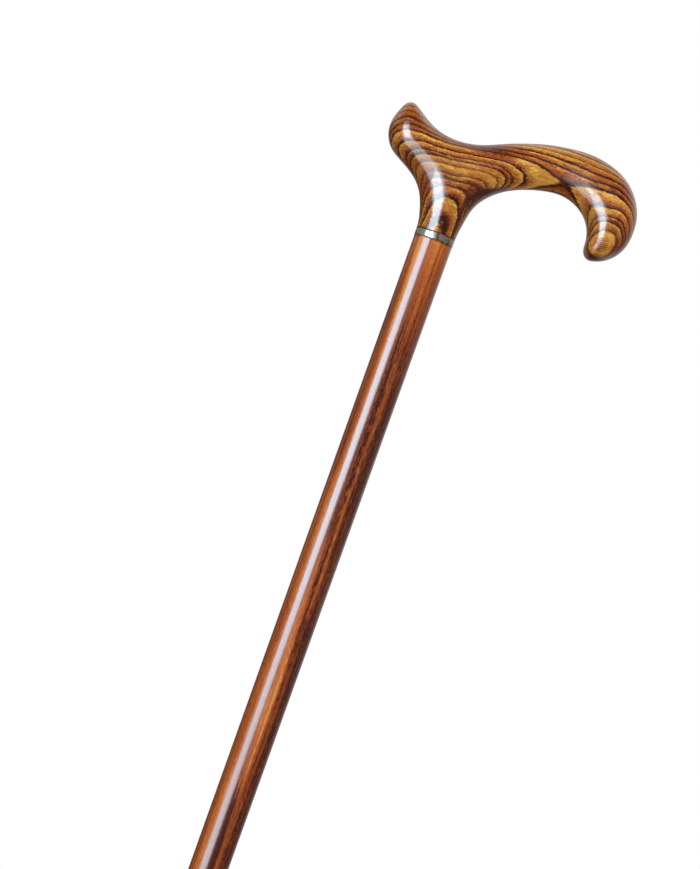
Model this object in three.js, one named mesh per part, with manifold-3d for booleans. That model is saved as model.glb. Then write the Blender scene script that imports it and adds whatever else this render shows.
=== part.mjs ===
// Walking stick with a carved derby handle, in millimetres.
// The ferrule stands on z = 0, the shaft rises along +Z and the nose of the handle points along +X.

import * as THREE from "three";
import { mergeVertices } from "three/addons/utils/BufferGeometryUtils.js";
import Module from "manifold-3d";

const wasm = await Module();
wasm.setup();

// Driving sizes of the whole stick
const SHAFT_LENGTH = 844.7;
const SHAFT_TOP_DIAMETER = 20;
const SHAFT_FOOT_DIAMETER = 17;

// Clearances and cuts
const FIT = 0.15;
const OVERRUN = 5;
const ROUND_STEPS = 48;
const PIN_STEPS = 24;
const EDGE_STEPS = 4;

// Handle, measured from the shaft's axis and from the top of the collar
const HANDLE_HEIGHT = 64.8;
const NOSE_REACH = 93.1;
const TAIL_REACH = 39.9;
const NECK_BLEND = 9;
const STATION_SPREAD = 9;
const CARVING_FACET = 2.34;
const PROBE = 0.02;

// Collar between the handle and the shaft
const COLLAR_HEIGHT = 3.6;
const COLLAR_PROUD = 0.15;
const COLLAR_WALL = 1;
const COLLAR_EDGE_RADIUS = 0.45;

// Steel pin that is glued into both the handle and the shaft
const PIN_DIAMETER = 8;
const PIN_LENGTH = 64;
const PIN_CHAMFER = 1;
const PIN_END_ROOM = 1;
const GROOVE_DEPTH = 0.4;
const GROOVE_WIDTH = 1.6;
const GROOVE_SPACING = 6;
const GROOVES_PER_HALF = 3;

// Rubber ferrule on the foot of the shaft
const FERRULE_HEIGHT = 46;
const FERRULE_FLOOR = 9;
const BASE_DIAMETER = 33;
const BASE_HEIGHT = 8;
const BASE_EDGE_RADIUS = 1.5;
const FLARE_HEIGHT = 15;
const FLARE_STEPS = 6;
const TUBE_WALL = 2.6;
const BEAD_RADIUS = 1.6;
const BEAD_STEPS = 6;
const RING_PROUD = 0.7;
const RING_WIDTH = 2;
const RING_SPACING = 4.5;
const RING_COUNT = 2;
const MOUTH_CHAMFER = 0.8;
const TREAD_DEPTH = 1.8;
const TREAD_PAD_DIAMETER = 12;
const TREAD_GROOVE_WIDTH = 1.6;
const TREAD_RIDGE_WIDTH = 1.9;
const TREAD_DRAFT = 0.2;

// Steel disc that keeps the shaft from cutting through the ferrule's floor
const DISC_THICKNESS = 1.5;
const DISC_EDGE = 0.3;
const DISC_PLAY = 0.5;

// Sizes that follow from the ones above
const shaftTopRadius = SHAFT_TOP_DIAMETER / 2;
const shaftFootRadius = SHAFT_FOOT_DIAMETER / 2;
const neckRadius = shaftTopRadius + COLLAR_PROUD;
const spigotRadius = neckRadius - COLLAR_WALL - FIT;
const discFoot = FERRULE_FLOOR;
const shaftFoot = discFoot + DISC_THICKNESS;
const collarTop = shaftFoot + SHAFT_LENGTH;
const collarFoot = collarTop - COLLAR_HEIGHT;
const pinRadius = PIN_DIAMETER / 2;
const pinBoreRadius = pinRadius + FIT;
const pinFoot = collarTop - PIN_LENGTH / 2;
const pinTop = pinFoot + PIN_LENGTH;

function shaftRadiusAt(z) {
  const slope = (shaftTopRadius - shaftFootRadius) / (collarFoot - shaftFoot);
  return shaftFootRadius + slope * (z - shaftFoot);
}

// Outlines of the handle seen from the side. Every pair is [across, up], and up is a share
// of the handle's height. Across is a share of the reach beyond the neck, or of the reach
// itself for the top line, which runs from the tail (below 0) to the nose (above 0).
const BACK_LINE_SHARES = [
  [0, -0.5], [0, -0.25], [0, 0], [0.039, 0.121], [0.135, 0.248], [0.318, 0.362], [0.594, 0.448],
  [0.839, 0.519], [0.978, 0.616], [1.002, 0.724], [0.927, 0.84], [0.789, 0.952], [0.597, 1.046],
];
const TOP_LINE_SHARES = [
  [-1.04, 1.02], [-0.854, 0.939], [-0.677, 0.867], [-0.482, 0.795], [-0.261, 0.756],
  [-0.027, 0.756], [0.09, 0.792], [0.19, 0.854], [0.293, 0.91], [0.401, 0.957], [0.509, 0.986],
  [0.617, 1], [0.727, 0.985], [0.832, 0.934], [0.918, 0.842], [0.979, 0.709], [1, 0.558],
  [0.982, 0.389], [0.91, 0.263], [0.816, 0.215], [0.722, 0.2], [0.597, 0.111], [0.448, -0.006],
  [0.328, -0.2], [0.278, -0.473],
];
const ARCH_LINE_SHARES = [
  [0, -0.5], [0, -0.25], [0, 0], [0.013, 0.145], [0.034, 0.274], [0.086, 0.391], [0.172, 0.491],
  [0.277, 0.56], [0.391, 0.605], [0.508, 0.622], [0.617, 0.584], [0.702, 0.493], [0.742, 0.365],
  [0.742, 0.23], [0.734, 0.092],
];

// Stations of the carving: where the side is met, the half width there, and how far in from
// the outline the rounding reaches. Widths and roundings are shares of the neck's radius.
const STATION_SHARES = [
  { across: 0.005, up: 0.23, width: 1.1, round: 1.3 },
  { across: 0, up: 0.44, width: 1.3, round: 1.55 },
  { across: -0.1, up: 0.63, width: 1.38, round: 1.55 },
  { across: -0.5, up: 0.6, width: 1.52, round: 1.7 },
  { across: -0.83, up: 0.57, width: 1.6, round: 1.2 },
  { across: -0.85, up: 0.77, width: 1.5, round: 0.95 },
  { across: -0.85, up: 0.94, width: 1, round: 0.13 },
  { across: 0.15, up: 0.63, width: 1.34, round: 1.45 },
  { across: 0.32, up: 0.73, width: 1.25, round: 1.35 },
  { across: 0.57, up: 0.8, width: 1.2, round: 1.25 },
  { across: 0.71, up: 0.79, width: 1.27, round: 1.3 },
  { across: 0.85, up: 0.68, width: 1.34, round: 1.35 },
  { across: 0.9, up: 0.48, width: 1.32, round: 1.15 },
  { across: 0.86, up: 0.325, width: 1.28, round: 0.9 },
  { across: 0.8, up: 0.248, width: 1.22, round: 0.36 },
];

// Curve through the given points as a cubic B-spline, so that its curvature runs on smoothly
function smoothLine(points, steps = 6, passes = 40) {
  const extend = (p) => {
    const first = p[0].clone().multiplyScalar(2).sub(p[1]);
    const last = p.at(-1).clone().multiplyScalar(2).sub(p.at(-2));
    return [first, ...p, last];
  };
  let control = points.map((p) => p.clone());
  for (let pass = 0; pass < passes; pass += 1) {
    const wide = extend(control);
    control = control.map((c, i) => {
      const onCurve = c.clone().multiplyScalar(4).add(wide[i]).add(wide[i + 2]).divideScalar(6);
      return c.clone().add(points[i]).sub(onCurve);
    });
  }
  const wide = extend(control);
  const line = [];
  for (let i = 0; i + 3 < wide.length; i += 1) {
    for (let step = 0; step < steps; step += 1) {
      const t = step / steps;
      const rest = 1 - t;
      const weights = [rest ** 3, 3 * t ** 3 - 6 * t ** 2 + 4, 3 * rest ** 3 - 6 * rest ** 2 + 4, t ** 3];
      const point = new THREE.Vector2();
      weights.forEach((weight, k) => point.addScaledVector(wide[i + k], weight / 6));
      line.push(point);
    }
  }
  line.push(points.at(-1).clone());
  return line;
}

// Distance from a line, positive on the wood's side of it; its two ends run on straight
function depthInside(line, woodSide, x, z) {
  let nearest = Infinity;
  let side = 1;
  for (let i = 0; i + 1 < line.length; i += 1) {
    const ax = x - line[i].x;
    const az = z - line[i].y;
    const dx = line[i + 1].x - line[i].x;
    const dz = line[i + 1].y - line[i].y;
    let along = (ax * dx + az * dz) / (dx * dx + dz * dz);
    along = i > 0 ? Math.max(along, 0) : along;
    along = i + 2 < line.length ? Math.min(along, 1) : along;
    const distance = Math.hypot(ax - along * dx, az - along * dz);
    if (distance < nearest) {
      nearest = distance;
      side = Math.sign(dx * az - dz * ax) * woodSide;
    }
  }
  return nearest * side;
}

function handleLines() {
  const backReach = TAIL_REACH - neckRadius;
  const archReach = NOSE_REACH - neckRadius;
  const topX = (share) => share * (share < 0 ? TAIL_REACH : NOSE_REACH);
  const up = (share) => share * HANDLE_HEIGHT;
  const back = BACK_LINE_SHARES.map(([x, z]) => new THREE.Vector2(-neckRadius - x * backReach, up(z)));
  const top = TOP_LINE_SHARES.map(([x, z]) => new THREE.Vector2(topX(x), up(z)));
  const arch = ARCH_LINE_SHARES.map(([x, z]) => new THREE.Vector2(neckRadius + x * archReach, up(z)));
  return [
    { line: smoothLine(back), woodSide: -1 },
    { line: smoothLine(top), woodSide: -1 },
    { line: smoothLine(arch), woodSide: 1 },
  ];
}

// Half width and rounding at a place on the side, blended from the stations into the round neck
function sectionAt(x, z) {
  let total = 0;
  let width = 0;
  let round = 0;
  for (const station of STATION_SHARES) {
    const stationX = station.across * (station.across < 0 ? TAIL_REACH : NOSE_REACH);
    const stationZ = station.up * HANDLE_HEIGHT;
    const away = Math.hypot(x - stationX, z - stationZ) / STATION_SPREAD;
    const weight = Math.exp(-away * away / 2);
    total += weight;
    width += weight * station.width * neckRadius;
    round += weight * station.round * neckRadius;
  }
  const blend = THREE.MathUtils.smoothstep(z, 0, NECK_BLEND);
  return {
    halfWidth: THREE.MathUtils.lerp(neckRadius, width / total, blend),
    rounding: THREE.MathUtils.lerp(neckRadius, round / total, blend),
  };
}

// The carved form: above zero inside the wood and below zero outside it
function carving(lines) {
  return (x, y, z) => {
    const section = sectionAt(x, z);
    let value = 1 - (y / section.halfWidth) ** 2;
    for (const { line, woodSide } of lines) {
      const near = 1 - depthInside(line, woodSide, x, z) / section.rounding;
      value -= Math.max(near, 0) ** 2;
    }
    return value;
  };
}

// Closed mesh of a form on a grid of cells, with every vertex moved onto the form's surface
function meshForm(form, low, counts, cell, floor) {
  const [nx, ny, nz] = counts;
  const at = (i, j, k) => (i * ny + j) * nz + k;
  const spot = (i, j, k) => [low.x + i * cell, low.y + j * cell, low.z + k * cell];
  const values = new Float64Array(nx * ny * nz);
  for (let i = 0; i < nx; i += 1) {
    for (let j = 0; j < ny; j += 1) {
      for (let k = 0; k < nz; k += 1) {
        const [x, y, z] = spot(i, j, k);
        values[at(i, j, k)] = Math.min(form(x, y, z), (z - floor) / cell);
      }
    }
  }
  const corners = [0, 1, 2, 3, 4, 5, 6, 7].map((c) => [c & 1, (c >> 1) & 1, c >> 2]);
  const vertexOf = new Map();
  const positions = [];
  for (let i = 0; i + 1 < nx; i += 1) {
    for (let j = 0; j + 1 < ny; j += 1) {
      for (let k = 0; k + 1 < nz; k += 1) {
        const v = corners.map(([a, b, c]) => values[at(i + a, j + b, k + c)]);
        if (v.every((value) => value > 0) || v.every((value) => value <= 0)) continue;
        const sum = new THREE.Vector3();
        let crossings = 0;
        for (let a = 0; a < 8; a += 1) {
          for (const bit of [1, 2, 4]) {
            const b = a | bit;
            if (b === a || v[a] > 0 === v[b] > 0) continue;
            const t = v[a] / (v[a] - v[b]);
            const from = new THREE.Vector3(...corners[a]);
            sum.add(from.lerp(new THREE.Vector3(...corners[b]), t));
            crossings += 1;
          }
        }
        sum.divideScalar(crossings);
        vertexOf.set(at(i, j, k), positions.length / 3);
        positions.push(...spot(i + sum.x, j + sum.y, k + sum.z));
      }
    }
  }
  projectOnto(form, positions, floor + cell);
  const indices = [];
  const quad = (a, b, c, d, flipped) => {
    const q = [a, b, c, d].map((cellIndex) => vertexOf.get(cellIndex));
    if (flipped) q.reverse();
    const span = (m, n) => new THREE.Vector3().fromArray(positions, 3 * m)
      .distanceTo(new THREE.Vector3().fromArray(positions, 3 * n));
    if (span(q[0], q[2]) < span(q[1], q[3])) indices.push(q[0], q[1], q[2], q[0], q[2], q[3]);
    else indices.push(q[1], q[2], q[3], q[1], q[3], q[0]);
  };
  for (let i = 1; i + 1 < nx; i += 1) {
    for (let j = 1; j + 1 < ny; j += 1) {
      for (let k = 1; k + 1 < nz; k += 1) {
        const inside = values[at(i, j, k)] > 0;
        if (inside !== values[at(i + 1, j, k)] > 0) {
          quad(at(i, j - 1, k - 1), at(i, j, k - 1), at(i, j, k), at(i, j - 1, k), !inside);
        }
        if (inside !== values[at(i, j + 1, k)] > 0) {
          quad(at(i - 1, j, k - 1), at(i - 1, j, k), at(i, j, k), at(i, j, k - 1), !inside);
        }
        if (inside !== values[at(i, j, k + 1)] > 0) {
          quad(at(i - 1, j - 1, k), at(i, j - 1, k), at(i, j, k), at(i - 1, j, k), !inside);
        }
      }
    }
  }
  const geometry = new THREE.BufferGeometry();
  geometry.setAttribute("position", new THREE.Float32BufferAttribute(positions, 3));
  geometry.setIndex(indices);
  return geometry;
}

function projectOnto(form, positions, lowest, passes = 4) {
  for (let n = 0; n < positions.length; n += 3) {
    let [x, y, z] = positions.slice(n, n + 3);
    if (z < lowest) continue;
    for (let pass = 0; pass < passes; pass += 1) {
      const value = form(x, y, z);
      const slope = new THREE.Vector3(
        form(x + PROBE, y, z) - form(x - PROBE, y, z),
        form(x, y + PROBE, z) - form(x, y - PROBE, z),
        form(x, y, z + PROBE) - form(x, y, z - PROBE),
      ).divideScalar(2 * PROBE);
      slope.multiplyScalar(value / slope.lengthSq());
      x -= slope.x;
      y -= slope.y;
      z -= slope.z;
    }
    positions.splice(n, 3, x, y, z);
  }
}

// Solids and booleans
function toSolid(geometry) {
  const bare = geometry.clone();
  bare.deleteAttribute("normal");
  bare.deleteAttribute("uv");
  const merged = mergeVertices(bare);
  const mesh = new wasm.Mesh({
    numProp: 3,
    vertProperties: Float32Array.from(merged.attributes.position.array),
    triVerts: Uint32Array.from(merged.index.array),
  });
  return new wasm.Manifold(mesh);
}

function toGeometry(solid) {
  const mesh = solid.getMesh();
  const geometry = new THREE.BufferGeometry();
  geometry.setAttribute("position", new THREE.BufferAttribute(mesh.vertProperties, 3));
  geometry.setIndex(new THREE.BufferAttribute(mesh.triVerts, 1));
  geometry.computeVertexNormals();
  return geometry;
}

// A piece turned about the shaft's axis, from [radius, height] pairs
function turned(profile, steps = ROUND_STEPS) {
  const points = profile.map(([radius, height]) => new THREE.Vector2(radius, height));
  return new THREE.LatheGeometry(points, steps).rotateX(Math.PI / 2);
}

// Points of a quarter round about a centre, from one angle to another
function rounded(centreR, centreZ, radius, fromAngle, toAngle, steps = EDGE_STEPS) {
  const points = [];
  for (let step = 0; step <= steps; step += 1) {
    const angle = THREE.MathUtils.lerp(fromAngle, toAngle, step / steps);
    points.push([centreR + radius * Math.cos(angle), centreZ + radius * Math.sin(angle)]);
  }
  return points;
}

// Sub-parts
function handleGeometry() {
  const form = carving(handleLines());
  const widest = Math.max(...STATION_SHARES.map((station) => station.width)) * neckRadius;
  const cell = CARVING_FACET;
  const left = Math.ceil(TAIL_REACH / cell) + 1;
  const right = Math.ceil(NOSE_REACH / cell) + 1;
  const side = Math.ceil(widest / cell) + 2;
  const below = 4;
  const above = Math.ceil(HANDLE_HEIGHT / cell) + 1;
  const low = new THREE.Vector3(-left * cell, (0.5 - side) * cell, -below * cell);
  const counts = [left + right + 1, 2 * side, below + above + 1];
  const floor = (1.5 - below) * cell;
  const carved = toSolid(meshForm(form, low, counts, cell, floor));

  const waste = new THREE.BoxGeometry(4 * neckRadius, 4 * neckRadius, OVERRUN - floor);
  waste.translate(0, 0, (floor - OVERRUN) / 2);
  const boreDepth = pinTop + PIN_END_ROOM - collarTop;
  const bore = new THREE.CylinderGeometry(pinBoreRadius, pinBoreRadius, boreDepth + OVERRUN, PIN_STEPS);
  bore.rotateX(Math.PI / 2).translate(0, 0, (boreDepth - OVERRUN) / 2);
  return toGeometry(carved.subtract(toSolid(waste)).subtract(toSolid(bore)));
}

function collarGeometry() {
  const inner = neckRadius - COLLAR_WALL;
  const edge = COLLAR_EDGE_RADIUS;
  const profile = [
    [inner, 0],
    ...rounded(neckRadius - edge, edge, edge, -Math.PI / 2, 0),
    ...rounded(neckRadius - edge, COLLAR_HEIGHT - edge, edge, 0, Math.PI / 2),
    [inner, COLLAR_HEIGHT],
    [inner, 0],
  ];
  return turned(profile);
}

function shaftGeometry() {
  const boreFloor = pinFoot - shaftFoot;
  const shoulder = collarFoot - shaftFoot;
  const top = collarTop - shaftFoot;
  return turned([
    [0, 0],
    [shaftFootRadius - FIT, 0],
    [shaftFootRadius, FIT],
    [shaftTopRadius, shoulder],
    [spigotRadius, shoulder],
    [spigotRadius, top],
    [pinBoreRadius, top],
    [pinBoreRadius, boreFloor],
    [0, boreFloor],
  ]);
}

function pinGeometry() {
  const profile = [[0, 0], [pinRadius - PIN_CHAMFER, 0], [pinRadius, PIN_CHAMFER]];
  const firsts = [-GROOVES_PER_HALF, 1];
  for (const first of firsts) {
    for (let n = 0; n < GROOVES_PER_HALF; n += 1) {
      const middle = PIN_LENGTH / 2 + (first + n) * GROOVE_SPACING;
      const half = GROOVE_WIDTH / 2;
      profile.push([pinRadius, middle - half]);
      profile.push([pinRadius - GROOVE_DEPTH, middle - half + GROOVE_DEPTH]);
      profile.push([pinRadius - GROOVE_DEPTH, middle + half - GROOVE_DEPTH]);
      profile.push([pinRadius, middle + half]);
    }
  }
  profile.push([pinRadius, PIN_LENGTH - PIN_CHAMFER]);
  profile.push([pinRadius - PIN_CHAMFER, PIN_LENGTH]);
  profile.push([0, PIN_LENGTH]);
  return turned(profile, PIN_STEPS);
}

function treadProfile() {
  const outer = BASE_DIAMETER / 2 - BASE_EDGE_RADIUS;
  const points = [[0, 0]];
  let radius = TREAD_PAD_DIAMETER / 2;
  while (radius + TREAD_GROOVE_WIDTH + TREAD_RIDGE_WIDTH < outer) {
    const crest = radius + TREAD_GROOVE_WIDTH;
    points.push([radius, 0]);
    points.push([radius + TREAD_DRAFT, TREAD_DEPTH]);
    points.push([crest - TREAD_DRAFT, TREAD_DEPTH]);
    points.push([crest, 0]);
    radius = crest + TREAD_RIDGE_WIDTH;
  }
  return points;
}

function ferruleGeometry() {
  const boreAt = (z) => shaftRadiusAt(z) + FIT;
  const tube = boreAt(FERRULE_HEIGHT) + TUBE_WALL;
  const base = BASE_DIAMETER / 2;
  const profile = treadProfile();
  profile.push(...rounded(base - BASE_EDGE_RADIUS, BASE_EDGE_RADIUS, BASE_EDGE_RADIUS, -Math.PI / 2, 0));
  for (let step = 0; step <= FLARE_STEPS; step += 1) {
    const rise = step / FLARE_STEPS;
    const drawnIn = (1 - Math.cos(rise * Math.PI)) / 2;
    profile.push([THREE.MathUtils.lerp(base, tube, drawnIn), BASE_HEIGHT + rise * FLARE_HEIGHT]);
  }
  const beadMiddle = FERRULE_HEIGHT - BEAD_RADIUS;
  for (let n = RING_COUNT; n > 0; n -= 1) {
    const middle = beadMiddle - n * RING_SPACING;
    profile.push([tube, middle - RING_WIDTH / 2]);
    profile.push([tube + RING_PROUD, middle - RING_WIDTH / 2 + RING_PROUD]);
    profile.push([tube + RING_PROUD, middle + RING_WIDTH / 2 - RING_PROUD]);
    profile.push([tube, middle + RING_WIDTH / 2]);
  }
  profile.push(...rounded(tube, beadMiddle, BEAD_RADIUS, -Math.PI / 2, Math.PI / 2, BEAD_STEPS));
  profile.push([boreAt(FERRULE_HEIGHT) + MOUTH_CHAMFER, FERRULE_HEIGHT]);
  profile.push([boreAt(FERRULE_HEIGHT), FERRULE_HEIGHT - MOUTH_CHAMFER]);
  profile.push([boreAt(shaftFoot), FERRULE_FLOOR]);
  profile.push([0, FERRULE_FLOOR]);
  return turned(profile);
}

function discGeometry() {
  const radius = shaftFootRadius - DISC_PLAY;
  return turned([
    [0, 0],
    [radius - DISC_EDGE, 0],
    [radius, DISC_EDGE],
    [radius, DISC_THICKNESS - DISC_EDGE],
    [radius - DISC_EDGE, DISC_THICKNESS],
    [0, DISC_THICKNESS],
  ]);
}

// Assembly
const materials = {
  handle: { color: 0xb06a24, roughness: 0.25, metalness: 0 },
  collar: { color: 0x8c8b86, roughness: 0.35, metalness: 1 },
  shaft: { color: 0x8a3f1c, roughness: 0.25, metalness: 0 },
  joint_pin: { color: 0xb4b6b8, roughness: 0.4, metalness: 1 },
  ferrule: { color: 0x1b1b1b, roughness: 0.75, metalness: 0 },
  ferrule_disc: { color: 0x9da0a3, roughness: 0.45, metalness: 1 },
};

const group = new THREE.Group();

function place(name, geometry, z) {
  const mesh = new THREE.Mesh(geometry, new THREE.MeshStandardMaterial(materials[name]));
  mesh.name = name;
  mesh.position.z = z;
  group.add(mesh);
}

place("handle", handleGeometry(), collarTop);
place("collar", collarGeometry(), collarFoot);
place("shaft", shaftGeometry(), shaftFoot);
place("joint_pin", pinGeometry(), pinFoot);
place("ferrule", ferruleGeometry(), 0);
place("ferrule_disc", discGeometry(), discFoot);

export default group;
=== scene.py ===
# Looks of a wooden walking stick with a carved derby handle.
# Meshes are in metres; outlines and finishes are worked out in millimetres.

import math

import bmesh
import bpy
import numpy as np
from bpy.props import FloatProperty, FloatVectorProperty, IntProperty, PointerProperty
from mathutils import Matrix, Vector


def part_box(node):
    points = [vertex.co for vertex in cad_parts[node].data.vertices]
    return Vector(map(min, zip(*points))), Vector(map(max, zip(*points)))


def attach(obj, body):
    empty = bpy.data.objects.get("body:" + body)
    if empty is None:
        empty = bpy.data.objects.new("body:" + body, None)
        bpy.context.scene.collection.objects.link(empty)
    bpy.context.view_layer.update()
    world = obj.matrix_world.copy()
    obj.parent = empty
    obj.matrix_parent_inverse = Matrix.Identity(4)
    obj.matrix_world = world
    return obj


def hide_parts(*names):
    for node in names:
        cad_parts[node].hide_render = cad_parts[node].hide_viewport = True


bl_info = {
    "name": "Walking stick with a derby handle",
    "version": (1, 0, 0),
    "blender": (4, 5, 0),
    "location": "View3D > Sidebar > Stick",
    "description": "Carved striped handle, metal collar, stained shaft and rubber ferrule",
    "category": "Object",
}

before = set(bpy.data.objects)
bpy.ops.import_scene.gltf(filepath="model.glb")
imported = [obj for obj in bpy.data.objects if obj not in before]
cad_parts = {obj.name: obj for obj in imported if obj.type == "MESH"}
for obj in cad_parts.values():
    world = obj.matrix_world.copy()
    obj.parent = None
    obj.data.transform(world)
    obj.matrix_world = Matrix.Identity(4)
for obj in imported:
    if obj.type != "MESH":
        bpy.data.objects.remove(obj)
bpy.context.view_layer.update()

MM = 0.001
PER_METRE = 1000.0
HANDLE_BODY = "stick"
FOOT_BODY = "ferrule"

collar_low, collar_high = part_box("collar")
shaft_low, shaft_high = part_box("shaft")
pin_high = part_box("joint_pin")[1]
COLLAR_TOP = collar_high.z * PER_METRE
COLLAR_FOOT = collar_low.z * PER_METRE
NECK_RADIUS = collar_high.x * PER_METRE

# Sizes in mm, as in the part
COLLAR_WALL = 1.0
SHAFT_TOP_RADIUS = 10.0
SHAFT_FOOT_RADIUS = 8.5
SPIGOT_RADIUS = 9.0
BORE_RADIUS = 4.15
BORE_DEPTH = 32.0
ROOM_OVER_PIN = 1.0
FERRULE_ROOM = 0.15

SHARP_EDGE = math.radians(35)
CREASE = math.radians(32)

# The handle's outlines seen from the side, as in the part: back, top and the arch under the grip,
# in shares of how far each reaches and of the height above the collar
HANDLE_HEIGHT = 64.8
NOSE_REACH = 93.1
TAIL_REACH = 39.9
BACK_LINE = (
    (0, -0.5), (0, -0.25), (0, 0), (0.039, 0.121), (0.135, 0.248), (0.318, 0.362), (0.594, 0.448),
    (0.839, 0.519), (0.978, 0.616), (1.002, 0.724), (0.927, 0.84), (0.789, 0.952), (0.597, 1.046),
)
TOP_LINE = (
    (-1.04, 1.02), (-0.854, 0.939), (-0.677, 0.867), (-0.482, 0.795), (-0.261, 0.756),
    (-0.027, 0.756), (0.09, 0.792), (0.19, 0.854), (0.293, 0.91), (0.401, 0.957), (0.509, 0.986),
    (0.617, 1), (0.727, 0.985), (0.832, 0.934), (0.918, 0.842), (0.979, 0.709), (1, 0.558),
    (0.982, 0.389), (0.91, 0.263), (0.816, 0.215), (0.722, 0.2), (0.597, 0.111), (0.448, -0.006),
    (0.328, -0.2), (0.278, -0.473),
)
ARCH_LINE = (
    (0, -0.5), (0, -0.25), (0, 0), (0.013, 0.145), (0.034, 0.274), (0.086, 0.391), (0.172, 0.491),
    (0.277, 0.56), (0.391, 0.605), (0.508, 0.622), (0.617, 0.584), (0.702, 0.493), (0.742, 0.365),
    (0.742, 0.23), (0.734, 0.092),
)
# Places on the side, in the same shares, with the half width there and how far in the rounding
# reaches, as shares of the neck's radius
STATIONS = (
    (0.005, 0.23, 1.1, 1.3), (0, 0.44, 1.3, 1.55), (-0.1, 0.63, 1.38, 1.55), (-0.5, 0.6, 1.52, 1.7),
    (-0.83, 0.57, 1.6, 1.2), (-0.85, 0.77, 1.5, 0.95), (-0.85, 0.94, 1, 0.13),
    (0.15, 0.63, 1.34, 1.45), (0.32, 0.73, 1.25, 1.35), (0.57, 0.8, 1.2, 1.25),
    (0.71, 0.79, 1.27, 1.3), (0.85, 0.68, 1.34, 1.35), (0.9, 0.48, 1.32, 1.15),
    (0.86, 0.325, 1.28, 0.9), (0.8, 0.248, 1.22, 0.36),
)
NECK_BLEND = 9.0
STATION_SPREAD = 9.0
LINE_STEPS = 8
LINE_PASSES = 40

# Growth rings of the handle's wood: where each dark line starts, in millimetres from the pith,
# and how dark it is; a ring's own zone begins a little before its line
RING_LEAD = 0.2
RINGS = (
    (0, 0.8), (28.9, 0.8), (32.6, 1), (35.7, 1), (38.6, 0.85), (40.5, 0.75), (42.3, 0.6),
    (45.2, 0.55), (47.5, 0.95), (49.1, 0.85), (52.1, 1), (56.3, 1), (58.8, 0.95), (62, 0.95),
    (65.6, 0.6), (69.4, 0.8), (72.6, 0.7), (75.4, 0.9), (78.3, 0.7), (81.5, 0.9), (84.6, 0.7),
    (88, 0.8),
)
# The pith's line: its tilt and bend sideways and upwards along the grip, and its hump's place,
# reach and height
PITH_SIDEWAYS = (0.056, 0.001)
PITH_UPWARDS = (0.128, 0.00018)
PITH_HUMP = (15.0, 29.0, 3.6)
# The oval on the nose where the carving cuts along one ring: middle, way of its length, half
# length, half width, the ring at its rim and the spacing of the rings outside it
OVAL_MIDDLE = (79.8, 22.5)
OVAL_WAY = (0.56, 0.83)
OVAL_HALF = (7.403, 6.0)
OVAL_RING, OVAL_SPACING = 45.2, 2.8
# Places that stand out, as middle and reach: rings that run straight, heavier lines, the rough
# grain in the oval, the lacquer gone matt and the lacquer at its glossiest
CALM_WAIST = ((51.0, 45.5), (9.487, 4.472))
HEAVY_LINES = ((77.0, 50.0), (14.142, 9.487))
OVAL_GRAIN = ((79.2, 21.7), (3.606, 3.464))
MATT_TOP = ((57.5, 51.0), (7.746, 5.0))
GLOSSY_BACK = ((-6.0, 24.0), (24.495, 24.495))
# Places where hidden knots bend the rings: across, up, reach and push towards the pith
SWELLS = (
    (41.5, 35.5, 10.3, 2.05), (18.5, 55, 12.4, 1), (75.5, 40, 7, 1.4), (0, 28.3, 6.7, 0.8),
    (20, 35.7, 5.3, -0.95), (-2, 8, 7, 0.9), (55.3, 37.2, 7.6, 1.35), (-19.6, 23.7, 9.6, -0.8),
    (90, 26, 5, -1.1), (-34.4, 50, 5, -0.65), (15, 27.8, 5, -1.5), (65, 53, 9, 1.1),
)
# Stain patches, partly painted shade and painted light: across, up, reach across, reach up and
# depth
STAINS_AND_PAINTED_SHADING = (
    (2, 47.5, 22, 3.5, 0.55), (-32, 52, 8, 6, 0.4), (-24, 28, 8, 8, 0.35), (-13, 18, 5, 14, 0.35),
    (11.5, 21, 3.5, 5, 1.2), (17, 27, 4.5, 2.6, 1.1), (2.6, 4, 2.4, 3.2, 1.8), (90, 34, 5, 14, 0.4),
    (67, 53, 6, 5, 0.4), (60, 43, 6, 4, 0.3), (9, 10, 2, 8, 0.6), (15, 50.5, 10, 3, 0.5),
    (82, 54, 8, 7, 0.5), (53, 50, 5, 4, 0.3), (-30, 47, 6, 6, 0.3), (14, 46, 10, 4, 0.3),
    (26, 54, 8, 3.5, 0.4), (11, 26, 4, 3, 0.6), (77, 14.5, 8, 2.4, 1.1), (1.5, 8.2, 3.2, 2, 1),
    (89, 22, 4, 6, 0.5), (36, 44.5, 7, 3.5, -1), (10, 37, 14, 6, -0.5), (2, 13, 3, 3, -0.8),
    (70, 34, 4, 8, -0.6), (80, 40, 5, 5, -0.4), (-32, 36, 5, 5, -0.4), (34, 58, 12, 4, -0.3),
    (73.5, 17, 3, 6, -0.9),
)

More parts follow.
